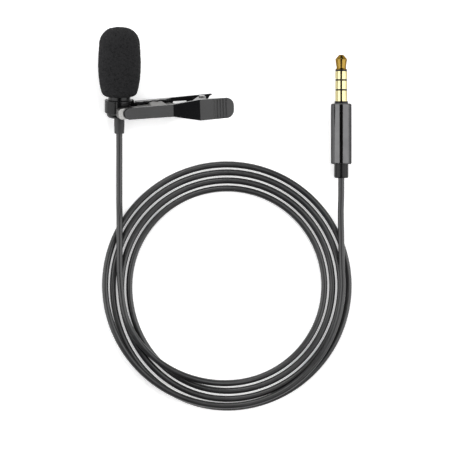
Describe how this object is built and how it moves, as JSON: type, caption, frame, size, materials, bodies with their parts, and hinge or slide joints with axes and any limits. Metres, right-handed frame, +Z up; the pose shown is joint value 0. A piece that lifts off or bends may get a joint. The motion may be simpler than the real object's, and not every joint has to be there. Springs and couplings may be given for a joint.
{
  "type": "lavalier microphone",
  "caption": "Small lapel microphone under a foam windscreen, held in a sprung metal clip that turns about it, with a thin cable in a coil and a four-pole jack plug.",
  "frame": {"origin": "centre of the box round the microphone and its clip, at the level of the surface they lie on; the cord's coil and plug are left out of that box", "axes": "+X across the microphone, the way the clip reaches out; +Y along the microphone towards its foam end; +Z up from the surface"},
  "size_m": [0.0774, 0.1151, 0.0142],
  "materials": {
    "foam": "open-cell foam",
    "black_shell": "satin black",
    "clip_paint": "satin black",
    "nickel": "bright",
    "spring_steel": "bright",
    "mesh": "woven",
    "felt": "felt",
    "can": "satin",
    "film": "thin film",
    "insulator": "moulded",
    "board": "circuit board",
    "chip": "moulded",
    "rubber": "matt",
    "copper": "drawn wire",
    "gold": "polished, gold plated",
    "gunmetal": "dark, polished",
    "black_plastic": "moulded",
    "cord": "satin jacket"
  },
  "bodies": {
    "microphone": {"mic_housing": "black_shell", "grille_cap": "black_shell", "grille_mesh": "mesh", "dust_felt": "felt", "capsule_seat": "rubber", "capsule_can": "can", "capsule_board": "board", "contact_ring": "nickel", "insulator_cup": "insulator", "backplate": "nickel", "spacer_ring": "insulator", "diaphragm": "film", "diaphragm_ring": "nickel", "fet_chip": "chip", "cable_boot": "rubber", "cable_crimp": "nickel", "cable_end_in_mic": "cord", "signal_lead": "copper", "shield_lead": "copper", "plug_tip": "gold", "plug_ring_front": "gold", "plug_ring_rear": "gold", "plug_sleeve": "gold", "plug_insulator_front": "black_plastic", "plug_insulator_middle": "black_plastic", "plug_insulator_rear": "black_plastic", "plug_core_insulator": "insulator", "plug_centre_rod": "gold", "plug_collar": "black_plastic", "plug_housing": "gunmetal", "plug_strain_relief": "black_plastic", "cable_end_in_plug": "cord", "plug_inner_mould": "insulator", "cord_mic_lead": "cord", "cord_coil": "cord", "cord_plug_lead": "cord", "plug_lug_1": "nickel", "plug_wire_1": "copper", "plug_lug_2": "nickel", "plug_wire_2": "copper", "plug_lug_3": "nickel", "plug_wire_3": "copper"},
    "windscreen": {"foam_windscreen": "foam"},
    "clip": {"holder_ring": "clip_paint", "ring_rivet": "nickel", "rear_jaw": "clip_paint", "pivot_pin": "spring_steel", "clip_spring": "spring_steel"},
    "lever": {"front_lever": "clip_paint", "jaw_insert": "nickel", "spring_lever_leg": "spring_steel"}
  },
  "joints": [
    {"name": "windscreen_pull", "type": "slide", "parent": "microphone", "child": "windscreen", "axis": [-0.0189, 0.9823, 0.1865], "range_m": [0, 0.022]},
    {"name": "clip_turn", "type": "hinge", "parent": "microphone", "child": "clip", "pos_m": [-0.01363, -0.00733, 0.0047], "axis": [-0.0189, 0.9823, 0.1865], "continuous": true},
    {"name": "lever_pivot", "type": "hinge", "parent": "clip", "child": "lever", "pos_m": [0.01131, -0.00738, 0.00381], "axis": [-0.0515, 0.9801, 0.1919], "range_deg": [0, 22], "stiffness_Nm_per_rad": 0.06, "springref_deg": -17.19}
  ]
}
